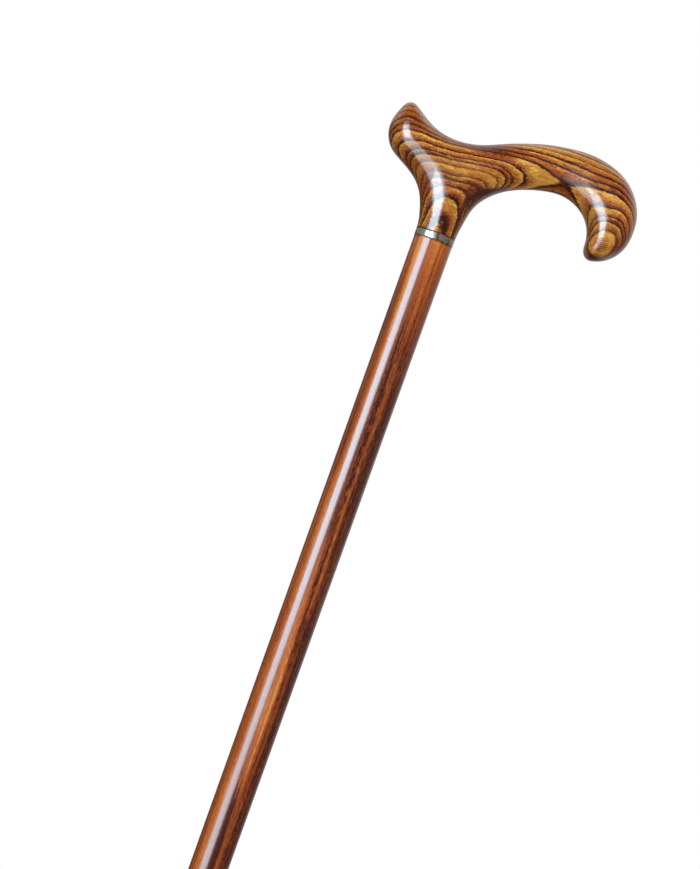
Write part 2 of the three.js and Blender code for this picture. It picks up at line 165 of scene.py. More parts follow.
# Streaks of the shaft's front: middle and half width in degrees round from the front, top and
# bottom in millimetres below the collar, drift in degrees over that length, and the tone added
STREAKS = (
    (-76, 10, -20, 600, 0, -0.3), (-64, 3, -30, 400, 0, 0.2), (-60, 8, -20, 600, 2, -0.12),
    (-60, 20, -40, 70, 0, -0.3), (-58, 14, 70, 135, 0, -0.16), (-50, 3, -30, 240, 0, -0.2),
    (-47, 5, -20, 600, 2, 0.1), (-42, 6, 190, 290, 0, -0.14), (-40, 13, 55, 135, 0, -0.16),
    (-36, 6, -20, 600, 2, 0.1), (-36, 8, -30, 30, 0, 0.2), (-30, 6, 30, 220, 0, 0.12),
    (-2, 6, 158, 195, 5, 0.4), (0, 11, 180, 300, 6, 0.52), (2, 7, -20, 45, 0, 0.08),
    (5, 15, 258, 420, 6, -0.22), (7, 6, 50, 150, 2, -0.12), (12, 7, 215, 420, 10, 0.34),
    (15, 6, -20, 60, 3, 0.3), (19, 5, 125, 205, 9, 0.36), (21, 7, 60, 130, 2, 0.14),
    (31, 5, 215, 330, 2, 0.1), (34, 4, -20, 60, 0, 0.16), (62, 26, 40, 600, 0, -0.06),
)


def tint(code):
    """A colour as it is seen on screen, in hexadecimal, as the light that a finish takes."""
    parts = [int(code[i:i + 2], 16) / 255 for i in (0, 2, 4)]
    return tuple(c / 12.92 if c <= 0.04045 else ((c + 0.055) / 1.055) ** 2.4 for c in parts)


# Settings a user would change


class HandleSettings(bpy.types.PropertyGroup):
    """Carved handle and its striped wood."""
    fineness: FloatProperty(
        name="Fineness", description="Distance between the points of the carved surface",
        default=0.55 * MM, unit="LENGTH")
    lower_edge: FloatProperty(
        name="Lower edge", description="Rounding where the handle meets the collar",
        default=0.4 * MM, unit="LENGTH")
    pith_ahead: FloatProperty(
        name="Pith ahead", description="How far in front of the stick the rings are centred",
        default=42 * MM, unit="LENGTH")
    pith_rise: FloatProperty(
        name="Pith rise", description="Height of the rings' centre above the collar",
        default=-3.4 * MM, unit="LENGTH")
    golden: FloatVectorProperty(
        name="Golden wood", description="Colour of the smooth late wood",
        default=tint("F4C258"), subtype="COLOR", min=0, max=1)
    orange: FloatVectorProperty(
        name="Orange wood", description="Colour beside the dark lines",
        default=tint("B8692A"), subtype="COLOR", min=0, max=1)
    # Also the colour of the painted shade at the collar joint and in the deepest patches
    dark: FloatVectorProperty(
        name="Dark lines", description="Colour of the porous early wood",
        default=tint("3A160E"), subtype="COLOR", min=0, max=1)


class CollarSettings(bpy.types.PropertyGroup):
    """Metal collar between handle and shaft."""
    edge: FloatProperty(
        name="Edge", description="Rounding of the collar's two edges",
        default=0.45 * MM, unit="LENGTH")
    metal: FloatVectorProperty(
        name="Metal", description="Colour of the dull nickel",
        default=tint("D2C6B4"), subtype="COLOR", min=0, max=1)
    tarnish: FloatVectorProperty(
        name="Tarnish", description="Colour of the darkened places",
        default=tint("544A40"), subtype="COLOR", min=0, max=1)


class ShaftSettings(bpy.types.PropertyGroup):
    """Turned shaft and its stained wood."""
    segments: IntProperty(
        name="Segments", description="Facets round the shaft", default=144, min=24)
    pale: FloatVectorProperty(
        name="Pale streaks", description="Colour of the lightest streaks",
        default=tint("D6924C"), subtype="COLOR", min=0, max=1)
    brown: FloatVectorProperty(
        name="Red brown", description="Main colour of the stain",
        default=tint("9A4A1E"), subtype="COLOR", min=0, max=1)
    scorched: FloatVectorProperty(
        name="Scorched", description="Colour of the darkest streaks",
        default=tint("42170F"), subtype="COLOR", min=0, max=1)


class FerruleSettings(bpy.types.PropertyGroup):
    """Rubber foot."""
    segments: IntProperty(
        name="Segments", description="Facets round the ferrule", default=128, min=24)
    rubber: FloatVectorProperty(
        name="Rubber", description="Colour of the rubber",
        default=tint("1C1B1B"), subtype="COLOR", min=0, max=1)


class StageSettings(bpy.types.PropertyGroup):
    """Camera, lamps and floor."""
    lean: FloatProperty(
        name="Lean", description="How far the stick leans in the picture",
        default=math.radians(19.72), subtype="ANGLE")
    look_up: FloatProperty(
        name="Look up", description="How far the camera looks up at the handle",
        default=math.radians(6.2), subtype="ANGLE")
    distance: FloatProperty(
        name="Distance", description="From the camera to the stick",
        default=2.5, unit="LENGTH")
    frame_height: FloatProperty(
        name="Frame height", description="Height of the picture at the stick",
        default=0.43505, unit="LENGTH")
    floor: FloatVectorProperty(
        name="Floor", description="Colour of the floor",
        default=tint("F0F0EE"), subtype="COLOR", min=0, max=1)


# Node maths


class Value:
    """A number, a colour or a mesh on its way through a tree's nodes."""

    def __init__(self, tree, socket):
        self.tree = tree
        self.socket = socket

    def __add__(self, other):
        return self.tree.maths("ADD", self, other)

    __radd__ = __add__

    def __sub__(self, other):
        return self.tree.maths("SUBTRACT", self, other)

    def __rsub__(self, other):
        return self.tree.maths("SUBTRACT", other, self)

    def __mul__(self, other):
        return self.tree.maths("MULTIPLY", self, other)

    __rmul__ = __mul__

    def __truediv__(self, other):
        return self.tree.maths("DIVIDE", self, other)

    def __rtruediv__(self, other):
        return self.tree.maths("DIVIDE", other, self)

    def __neg__(self):
        return self.tree.maths("MULTIPLY", self, -1.0)

    def __abs__(self):
        return self.tree.maths("ABSOLUTE", self)


class Tree:
    """A node tree and the nodes that are added to it."""

    def __init__(self, tree):
        self.nodes = tree.nodes
        self.links = tree.links
        self.nodes.clear()

    def add(self, kind, settings=None, inputs=None, output=0):
        """A node with its settings and the values or links of its sockets, as one output."""
        node = self.nodes.new(kind)
        for name, value in (settings or {}).items():
            setattr(node, name, value)
        for name, value in (inputs or {}).items():
            socket = node.inputs[name]
            if isinstance(value, Value):
                self.links.new(value.socket, socket)
            else:
                socket.default_value = value
        return Value(self, node.outputs[output]) if node.outputs else node

    def outputs(self, value):
        """All outputs of the node that a value comes from."""
        return [Value(self, output) for output in value.socket.node.outputs]

    def parts(self, place):
        """A place's three coordinates."""
        return self.outputs(self.add("ShaderNodeSeparateXYZ", None, {0: place}))

    def maths(self, operation, *values, clamp=False):
        settings = {"operation": operation, "use_clamp": clamp}
        return self.add("ShaderNodeMath", settings, dict(enumerate(values)))


class Finish(Tree):
    """The nodes of one material or world."""

    def __init__(self, owner):
        owner.use_nodes = True
        super().__init__(owner.node_tree)
        self.owner = owner

    def most(self, one, other):
        return self.maths("MAXIMUM", one, other)

    def smooth(self, value, low, high):
        """0 below low, 1 above high, and an easy slope between them."""
        settings = {"interpolation_type": "SMOOTHSTEP"}
        inputs = {"Value": value, "From Min": low, "From Max": high}
        return self.add("ShaderNodeMapRange", settings, inputs)

    def fall(self, value, low, high):
        """1 below low, 0 above high, and an easy slope between them."""
        return 1.0 - self.smooth(value, low, high)

    def band(self, value, middle, half, soft):
        """1 within half of the middle, falling off over the soft width."""
        return self.fall(abs(value - middle), half, half + soft)

    def hill(self, x, z, middle, reach):
        """1 at the middle of a place on the side, falling off smoothly over its reach."""
        a, b = (x - middle[0]) / reach[0], (z - middle[1]) / reach[1]
        return self.maths("EXPONENT", -(a * a + b * b))

    def blend(self, share, low, high):
        """The low colour where the share is 0 or less, and the high one where it is 1 or more."""
        inputs = {0: share, 6: wide(low), 7: wide(high)}
        return self.add("ShaderNodeMix", {"data_type": "RGBA"}, inputs, 2)

    def spot(self, height=0.0):
        """The coordinates on the piece in millimetres, with z measured from a height."""
        scaled = self.add(
            "ShaderNodeVectorMath", {"operation": "MULTIPLY_ADD"},
            {0: self.add("ShaderNodeTexCoord", output="Object"), 1: (PER_METRE,) * 3,
             2: (0.0, 0.0, -height)})
        return self.parts(scaled)

    def noise(self, spot, pace, detail=2.0, roughness=0.5):
        """Even noise, mostly from 0.3 to 0.7, with its pace per millimetre along x, y and z."""
        x, y, z = (value * rate for value, rate in zip(spot, pace))
        place = self.add("ShaderNodeCombineXYZ", None, {0: x, 1: y, 2: z})
        inputs = {"Vector": place, "Scale": 1.0, "Detail": detail, "Roughness": roughness}
        return self.add("ShaderNodeTexNoise", None, inputs)

    def chance(self, number):
        """A fixed random number from 0 to 1 for each value."""
        return self.add("ShaderNodeTexWhiteNoise", {"noise_dimensions": "1D"}, {"W": number})

    def bump(self, height, strength, distance):
        inputs = {"Height": height, "Strength": strength, "Distance": distance}
        return self.add("ShaderNodeBump", None, inputs)

    def surface(self, **inputs):
        """Ends the material in one plain shader with the given values."""
        named = {name.replace("_", " "): value for name, value in inputs.items()}
        shader = self.add("ShaderNodeBsdfPrincipled", None, named)
        self.add("ShaderNodeOutputMaterial", None, {"Surface": shader})
        return self.owner


def wide(colour):
    """A plain colour with its fourth number, and a colour from nodes as it is."""
    return colour if isinstance(colour, Value) else (*colour[:3], 1.0)


def new_material(name):
    return Finish(bpy.data.materials.new(name))


# Finishes


def ring_distance(f, settings, spot, cut):
    """How far a place is from the pith, which runs along the grip in front of the stick."""
    x, y, z = spot
    tilt, bend = PITH_SIDEWAYS
    ahead = y + settings.pith_ahead * PER_METRE + tilt * x + bend * x * x
    tilt, bend = PITH_UPWARDS
    pith_rise = settings.pith_rise * PER_METRE + tilt * x + bend * x * x
    hump_place, hump_reach, hump_height = PITH_HUMP
    off = (x - hump_place) / hump_reach
    rise = z - pith_rise - hump_height * f.maths("EXPONENT", -(off * off))
    distance = f.maths("SQRT", ahead * ahead + rise * rise)
    for across, up, reach, push in SWELLS:
        distance = distance + push * f.hill(x, z, (across, up), (reach, reach))
    near = f.fall(cut, 1.0, 1.5)
    return distance * (1.0 - near) + (OVAL_RING + (cut - 1.0) * OVAL_SPACING) * near


def nose_cut(f, x, z):
    """Below 1 inside the oval where the nose is cut along one ring, and larger away from it."""
    a, b = x - OVAL_MIDDLE[0], z - OVAL_MIDDLE[1]
    along = (a * OVAL_WAY[0] + b * OVAL_WAY[1]) / OVAL_HALF[0]
    beside = (b * OVAL_WAY[0] - a * OVAL_WAY[1]) / OVAL_HALF[1]
    return f.maths("SQRT", along * along + beside * beside)


def ring_met(f, radius):
    """Where the dark line of the ring at a distance from the pith starts, and how dark it is."""
    start, strength = RINGS[0]
    for (before, faint), (ring, dark) in zip(RINGS, RINGS[1:]):
        reached = f.maths("GREATER_THAN", radius, ring - RING_LEAD)
        start = start + reached * (ring - before)
        strength = strength + reached * (dark - faint)
    return start, strength


def stain_and_shading_depth(f, x, z):
    """How dark stain and painted shade make a place on the side, below 0 where clear wood and
    painted light lift it.
    """
    stain = 0.0
    for across, up, wide_reach, high_reach, depth in STAINS_AND_PAINTED_SHADING:
        stain = stain + depth * f.hill(x, z, (across, up), (wide_reach, high_reach))
    return stain


def neck_lines(f, x, z, ragged):
    """Two dark lines: one up the front of the neck, and one that leaves it along the arch."""
    height = 18.5 + 15.5 * (1.0 - f.maths("EXPONENT", (x - 8.0) / -9.0))
    along = f.band(z, height + (ragged - 0.5) * 3.0, 0.7, 1.8)
    along = along * f.smooth(x, 7.5, 9.5) * f.fall(x, 24.0, 30.0)
    upright = f.band(x, 8.4 + (ragged - 0.5), 0.3, 0.9) * f.fall(z, 20.0, 26.0)
    return f.most(along, upright)


def striped_wood(settings):
    """Stained ash: dark porous lines that follow the growth rings, under clear gloss lacquer."""
    f = new_material("striped_ash_lacquer")
    spot = f.spot(COLLAR_TOP)
    x, _, z = spot
    ripple = f.noise(spot, (0.11, 0.3, 0.3))
    ragged = f.noise(spot, (0.32, 1.3, 1.3), detail=3.0, roughness=0.65)
    pulse = f.noise(spot, (0.07, 0.3, 0.3))
    dashes = f.noise(spot, (0.2, 1.2, 1.2), detail=3.0, roughness=0.75)
    tufts = f.noise(spot, (0.75, 1.2, 1.2), detail=3.0, roughness=0.75)
    pores = f.noise(spot, (1.1, 2.1, 2.1), detail=1.0)
    cloud = f.noise(spot, (0.05, 0.09, 0.09))
    streak = f.noise(spot, (0.09, 0.8, 0.8), detail=3.0, roughness=0.6)
    waist = f.hill(x, z, *CALM_WAIST)
    patch = f.hill(x, z, *OVAL_GRAIN)

    cut = nose_cut(f, x, z)
    wander = (ripple - 0.5) * 0.6 + (ragged - 0.5) * 1.1
    radius = ring_distance(f, settings, spot, cut) + wander * (1.0 - waist * 0.85)
    start, strength = ring_met(f, radius)
    strength = strength * f.smooth(cut, 0.82, 0.97)
    past = radius - start
    fray = (tufts - 0.5) * 5.2 + (cloud - 0.5) * 1.6
    edge = past + fray

    # Stain patches, partly painted shade and painted light; clear and lightened places fade the
    # lines
    stain = stain_and_shading_depth(f, x, z)
    unlightened = 1.0 - 0.75 * f.maths("MULTIPLY", stain, -1.0, clamp=True)
    wanted = 0.25 + 0.9 * pulse + 0.3 * f.chance(start) + (dashes - 0.5) * 1.4
    width = f.most(wanted, 0.2) * (1.0 - waist * 0.6) * (0.5 + 0.5 * unlightened)
    width = width + f.hill(x, z, *HEAVY_LINES) * 0.5
    core = f.smooth(past, -0.15, 0.12) * f.fall(past + fray * 0.35, width * 0.5, width * 1.2)
    begun = f.smooth(past, -0.18, 0.1)
    fade = begun * f.fall(edge, 0.8, 1.6)
    glow = begun * f.fall(edge, 1.4, 3.2)
    strands = f.smooth(dashes, 0.49, 0.57) * f.fall(edge, 1.6, 4.4)

    warm = f.smooth(cloud, 0.38, 0.66) * 0.5 + (streak - 0.44) * 2.0
    warm = warm + f.smooth(stain, 0.05, 0.5) * 0.6 + f.fall(cut, 0.9, 1.1) * 0.35
    colour = f.blend(warm, settings.golden, settings.orange)
    strokes = f.maths("SINE", z * 6.2 - x * 1.2 + (tufts - 0.5) * 5.0)
    hatch = f.smooth(patch, 0.2, 0.6) * f.smooth(strokes, -0.2, 0.5)
    flecks = f.smooth(pores, 0.55, 0.62) + patch * 0.8 + hatch
    stain = stain * (0.3 + 1.2 * f.smooth(tufts, 0.35, 0.65))
    lines = strength * unlightened
    for share, shade in (
            (flecks * 0.55, tint("A65A24")),
            (glow * lines * 0.85, tint("AE5419")),
            (strands * lines * 0.95, tint("8C3E18")),
            (fade * lines * 0.85, tint("803616")),
            # Deep patches: stain and painted shade
            (f.smooth(stain, 0.15, 0.8) * 0.85, tint("8E4418")),
            (f.smooth(stain, 0.5, 1.0) * 0.85, settings.dark)):
        colour = f.blend(share, colour, shade)
    rim = f.band(cut + (tufts - 0.5) * 0.2, 1.02, 0.02, 0.08) * 0.85
    dark = f.most(core * strength * (0.75 + 0.5 * streak), f.most(rim, hatch * 0.8))
    # Painted shade along the joint with the collar, at the foot of the neck
    joint_shade = f.fall(z, 0.2, 0.9) * 0.8
    dark = f.most(dark, f.most(neck_lines(f, x, z, ragged) * 0.85, joint_shade))
    colour = f.blend(dark, colour, settings.dark)

    grain = core * -0.6 + strands * -0.4 + flecks * -0.2 + ripple * 0.3
    dull = f.most(f.hill(x, z, *MATT_TOP), patch * 0.9)
    polish = f.hill(x, z, *GLOSSY_BACK)
    return f.surface(
        Base_Color=colour, Roughness=0.1 + 0.06 * core + 0.04 * cloud + dull * 0.3,
        Normal=f.bump(grain, 0.3, 0.00014), IOR=1.5,
        Coat_Weight=0.5 + polish * 0.4 - dull * 0.45, Coat_Roughness=0.05, Coat_IOR=1.6)


def stained_wood(settings):
    """Straight-grained hardwood, stained red brown and scorched in streaks, under gloss lacquer."""
    f = new_material("scorched_stain_lacquer")
    spot = f.spot(COLLAR_FOOT)
    x, y, z = spot
    depth = -z
    turn = f.maths("DEGREES", f.maths("ARCTAN2", x, -y))
    wander = f.noise(spot, (0.09, 0.09, 0.011))
    broad = f.noise(spot, (0.16, 0.16, 0.006), detail=1.0)
    streaks = f.noise(spot, (0.62, 0.62, 0.012), detail=3.0, roughness=0.6)
    fine = f.noise(spot, (2.2, 2.2, 0.05), detail=3.0, roughness=0.65)
    dashes = f.noise(spot, (1.5, 1.5, 0.16))
    mottle = f.noise(spot, (1.3, 1.3, 0.35), detail=3.0, roughness=0.7)
    fleck = f.noise(spot, (2.8, 2.8, 0.8), detail=1.0)

    swayed = turn + (wander - 0.5) * 8.0
    front = f.fall(abs(turn), 85.0, 115.0)
    tone = 0.5 - front * 0.28 + f.maths("EXPONENT", depth / -28.0) * 0.55 * front
    # Lighter left side: partly the stain's paler streaks, partly painted light on the side towards
    # the strip lamps
    tone = tone + f.band(turn, -60.0, 34.0, 16.0) * 0.45
    tone = tone + (broad - 0.5) * (0.9 - 0.7 * front) + (streaks - 0.5) * 0.6
    tone = tone + (fine - 0.5) * 0.7 + (mottle - 0.5) * 0.8
    for middle, half, top, bottom, drift, change in STREAKS:
        run = (depth - top) / (bottom - top)
        mask = f.fall(abs(swayed - middle - drift * run), half * 0.55, half * 1.35)
        mask = mask * f.smooth(depth, top - 8, top + 22) * f.fall(depth, bottom - 25, bottom + 5)
        tone = tone + mask * change
    glow = f.smooth(dashes, 0.56, 0.72) * f.band(swayed, 18.0, 5.0, 8.0)
    tone = tone + glow * f.smooth(depth, 30.0, 80.0) * f.fall(depth, 220.0, 260.0) * 0.6
    even = f.band(turn, -17.0, 8.0, 7.0) * 0.75
    tone = tone * (1.0 - even) + 0.3 * even + (fleck - 0.5) * 0.25
    # Painted shade just below the collar, along the joint
    tone = tone - f.fall(depth, 0.2, 1.2) * 0.6

    colour = f.blend(f.smooth(tone, 0.05, 0.5), settings.scorched, settings.brown)
    colour = f.blend(f.smooth(tone, 0.45, 0.85), colour, tint("BC6428"))
    colour = f.blend(f.smooth(tone, 0.75, 1.15), colour, settings.pale)
    normal = f.bump(streaks * 0.5 + fine * 0.3, 0.04, 0.0001)
    gloss = 0.55 - 0.4 * f.smooth(depth, 130.0, 300.0)
    return f.surface(
        Base_Color=colour, Roughness=0.2 + 0.06 * fine, Normal=normal, IOR=1.5, Coat_Weight=gloss,
        Coat_Roughness=0.08, Coat_IOR=1.6)


def dull_nickel(settings):
    """Nickel band, brushed round, dulled and darkened in places."""
    f = new_material("dull_nickel")
    spot = f.spot(COLLAR_FOOT)
    brushed = f.noise(spot, (0.25, 0.25, 9.0))
    upright = f.noise(spot, (0.75, 0.75, 0.12), roughness=0.6)
    stains = f.noise(spot, (0.5, 0.5, 0.8), detail=3.0, roughness=0.65)
    dark = f.smooth(upright, 0.44, 0.62) * 0.75 + f.smooth(stains, 0.5, 0.72) * 0.35
    colour = f.blend(dark, settings.metal, settings.tarnish)
    rough = 0.2 + 0.14 * stains + 0.06 * brushed
    normal = f.bump(brushed * 0.4 + stains * 0.6, 0.15, 0.00005)
    return f.surface(Base_Color=colour, Metallic=0.85, Roughness=rough, Normal=normal)


def moulded_rubber(settings):
    """Matt rubber with the fine grain of the mould and a little dust on its lower edge."""
    f = new_material("moulded_rubber")
    spot = f.spot()
    grit = f.noise(spot, (2.2, 2.2, 2.2), detail=4.0, roughness=0.7)
    bloom = f.noise(spot, (0.09, 0.09, 0.09), detail=3.0)
    worn = f.fall(spot[2] + (grit - 0.5) * 4.0, 0.5, 5.0)
    colour = f.blend(f.smooth(bloom, 0.42, 0.7) * 0.5, settings.rubber, tint("2D2B2A"))
    colour = f.blend(worn * 0.5, colour, tint("4B4742"))
    normal = f.bump(grit, 0.35, 0.0001)
    return f.surface(
        Base_Color=colour, Roughness=0.58 + 0.2 * grit, Normal=normal, IOR=1.5,
        Specular_IOR_Level=0.4)


def plain_steel(name, pace):
    """Turned or pressed steel with fine tool marks."""
    f = new_material(name)
    spot = f.spot()
    marks = f.noise(spot, pace, detail=3.0)
    smear = f.noise(spot, (0.2, 0.2, 0.2), detail=3.0)
    colour = f.blend(f.smooth(smear, 0.4, 0.7), tint("C3C4C4"), tint("95928C"))
    normal = f.bump(marks, 0.2, 0.00005)
    return f.surface(
        Base_Color=colour, Metallic=1.0, Roughness=0.28 + 0.2 * marks, Normal=normal)


# The carved form


def smooth_line(points):
    """Curve through the points as a cubic B-spline, so that its curvature runs on smoothly."""
    points = np.array(points, float)

    def extend(p):
        return np.vstack([2 * p[0] - p[1], p, 2 * p[-1] - p[-2]])

    control = points
    for _ in range(LINE_PASSES):
        wider = extend(control)
        control = control + points - (wider[:-2] + 4 * control + wider[2:]) / 6
    wider = extend(control)
    line = []
    for i in range(len(wider) - 3):
        for step in range(LINE_STEPS):
            t = step / LINE_STEPS
            rest = 1 - t
            weights = (
                rest ** 3, 3 * t ** 3 - 6 * t ** 2 + 4, 3 * rest ** 3 - 6 * rest ** 2 + 4, t ** 3)
            line.append(np.dot(weights, wider[i:i + 4]) / 6)
    line.append(points[-1])
    return np.array(line)


def depth_inside(line, wood_side, x, z):
    """Distance from a line, positive on the wood's side of it; its ends run on straight."""
    nearest = np.full(x.shape, np.inf)
    side = np.ones(x.shape)
    last = len(line) - 2
    for i in range(last + 1):
        ax, az = x - line[i, 0], z - line[i, 1]
        dx, dz = line[i + 1] - line[i]
        along = (ax * dx + az * dz) / (dx * dx + dz * dz)
        along = np.maximum(along, 0) if i > 0 else along
        along = np.minimum(along, 1) if i < last else along
        distance = np.hypot(ax - along * dx, az - along * dz)
        closer = distance < nearest
        nearest = np.where(closer, distance, nearest)
        side = np.where(closer, np.sign(dx * az - dz * ax), side)
    return nearest * side * wood_side


def handle_lines():
    """The three outlines in millimetres, each with the side of it that the wood is on."""
    tail, nose = TAIL_REACH - NECK_RADIUS, NOSE_REACH - NECK_RADIUS
    back = [(-NECK_RADIUS - x * tail, z * HANDLE_HEIGHT) for x, z in BACK_LINE]
    top = [(x * (TAIL_REACH if x < 0 else NOSE_REACH), z * HANDLE_HEIGHT) for x, z in TOP_LINE]
    arch = [(NECK_RADIUS + x * nose, z * HANDLE_HEIGHT) for x, z in ARCH_LINE]
    return [(smooth_line(back), -1), (smooth_line(top), -1), (smooth_line(arch), 1)]


def section_at(x, z, lines):
    """Half width at a place on the side, and how much of it the rounding takes, from 0 to 1."""
    total, width, rounding, taken = np.zeros((4, *x.shape))
    for across, up, half, reach in STATIONS:
        station_x = across * (TAIL_REACH if across < 0 else NOSE_REACH)
        away = np.hypot(x - station_x, z - up * HANDLE_HEIGHT) / STATION_SPREAD
        weight = np.exp(-away * away / 2)
        total += weight
        width += weight * half * NECK_RADIUS
        rounding += weight * reach * NECK_RADIUS
    share = np.clip(z / NECK_BLEND, 0, 1)
    share = share * share * (3 - 2 * share)
    half = NECK_RADIUS + (width / total - NECK_RADIUS) * share
    reach = NECK_RADIUS + (rounding / total - NECK_RADIUS) * share
    for line, wood_side in lines:
        taken += np.maximum(1 - depth_inside(line, wood_side, x, z) / reach, 0) ** 2
    return half, taken


def carved_points(cell):
    """Points and four-sided faces of the carved surface, in millimetres above the collar."""
    lines = handle_lines()
    below, around = 3, 2
    widest = max(half for _, _, half, _ in STATIONS) * NECK_RADIUS
    left, right, side, above = (
        math.ceil(size / cell) + around for size in (TAIL_REACH, NOSE_REACH, widest, HANDLE_HEIGHT))
    xs = np.arange(-left, right + 1) * cell
    ys = (np.arange(2 * side) + 0.5 - side) * cell
    zs = np.arange(-below, above + 1) * cell
    floor = (1.5 - below) * cell
    grid_x, grid_z = np.meshgrid(xs, zs, indexing="ij")
    half, taken = section_at(grid_x, grid_z, lines)
    field = 1 - taken[:, None, :] - (ys[None, :, None] / half[:, None, :]) ** 2
    field = np.minimum(field, (zs - floor) / cell)
    points, faces = net_of(field, (xs[0], ys[0], zs[0]), cell)
    return settle(points, lines, floor + cell), faces


def net_of(field, low, cell):
    """Surface net: one point in each cell that the surface crosses, one face on each edge."""
    inside = field > 0
    total = np.zeros(tuple(n - 1 for n in field.shape) + (3,))
    crossings = np.zeros(total.shape[:3])
    for axis in range(3):
        one_axis, two_axis = (other for other in range(3) if other != axis)
        along, count, sums = (np.moveaxis(a, axis, 0) for a in (field, crossings, total))
        a, b = along[:-1], along[1:]
        crossed = (a > 0) != (b > 0)
        share = np.where(crossed, a / np.where(crossed, a - b, 1), 0)
        for one in (0, 1):
            for two in (0, 1):
                pick = np.s_[:, one:one + count.shape[1], two:two + count.shape[2]]
                count += crossed[pick]
                sums[..., axis] += share[pick]
                sums[..., one_axis] += crossed[pick] * one
                sums[..., two_axis] += crossed[pick] * two
    used = crossings > 0
    number = np.full(used.shape, -1)
    number[used] = np.arange(used.sum())
    points = (np.argwhere(used) + total[used] / crossings[used][:, None]) * cell + low
    faces = []
    unit = np.eye(3, dtype=int)
    for axis in range(3):
        near, far = [slice(1, -1)] * 3, [slice(1, -1)] * 3
        near[axis], far[axis] = slice(0, -1), slice(1, None)
        starts = inside[tuple(near)]
        cut = np.argwhere(starts != inside[tuple(far)])
        place = cut + 1 - unit[axis]
        one, two = unit[axis - 2], unit[axis - 1]
        ring = (place - one - two, place - two, place, place - one)
        quads = np.stack([number[tuple(corner.T)] for corner in ring], 1)
        outward = starts[tuple(cut.T)]
        quads[~outward] = quads[~outward][:, ::-1]
        faces.append(quads)
    return points, np.vstack(faces)


def settle(points, lines, lowest):
    """Moves the points straight onto the carved form."""
    reach = 0.02
    moving = points[:, 2] >= lowest
    x, y, z = points[moving].T

    def level(x, y, z):
        half, taken = section_at(x, z, lines)
        return 1 - taken - (y / half) ** 2

    half = section_at(x, z, lines)[0]
    slope = np.stack([
        (level(x + reach, y, z) - level(x - reach, y, z)) / (2 * reach),
        -2 * y / half ** 2,
        (level(x, y, z + reach) - level(x, y, z - reach)) / (2 * reach),
    ])
    steepness = (slope ** 2).sum(0)
    for _ in range(2):
        x, y, z = np.stack([x, y, z]) - slope * (level(x, y, z) / steepness)
    points[moving] = np.stack([x, y, z], 1)
    return points


def add_object(name, data):
    thing = bpy.data.objects.new(name, data)
    bpy.context.scene.collection.objects.link(thing)
    return thing


def mesh_object(name, points, faces, material):
    """A piece of the given points and faces, at the origin."""
    mesh = bpy.data.meshes.new(name)
    mesh.from_pydata(np.array(points).tolist(), [], np.array(faces).tolist())
    mesh.materials.append(material)
    return add_object(name, mesh)


def finish_neck(piece, edge, bore_top):
    """Cuts the neck level above the collar, rounds its lower edge and drills the pin's bore."""
    bore = BORE_RADIUS * MM
    shape = bmesh.new()
    shape.from_mesh(piece.data)
    everything = shape.verts[:] + shape.edges[:] + shape.faces[:]
    start = COLLAR_TOP * MM + edge
    cut = bmesh.ops.bisect_plane(
        shape, geom=everything, plane_co=(0, 0, start), plane_no=(0, 0, 1), clear_inner=True)
    rim = [e for e in cut["geom_cut"] if isinstance(e, bmesh.types.BMEdge)]
    radius = np.mean([v.co.xy.length for e in rim for v in e.verts])
    rings = arc((radius - edge, start), edge, 0, -90, 5)[1:]
    rings += [(bore, COLLAR_TOP * MM), (bore, bore_top)]
    for ring_radius, height in rings:
        grown = bmesh.ops.extrude_edge_only(shape, edges=rim)["geom"]
        rim = [e for e in grown if isinstance(e, bmesh.types.BMEdge)]
        for vertex in {v for e in rim for v in e.verts}:
            share = ring_radius / vertex.co.xy.length
            vertex.co = (vertex.co.x * share, vertex.co.y * share, height)
    bmesh.ops.contextual_create(shape, geom=rim)
    bmesh.ops.remove_doubles(shape, verts=shape.verts[:], dist=1e-7)
    bmesh.ops.recalc_face_normals(shape, faces=shape.faces[:])
    # New points and faces come in any order, so they are sorted to be the same in each run
    slant = Vector((3, 1, 7))
    shape.verts.sort(key=lambda vertex: vertex.co.dot(slant))
    shape.faces.sort(key=lambda face: face.calc_center_median().dot(slant))
    shape.to_mesh(piece.data)
    shape.free()


# Turned pieces


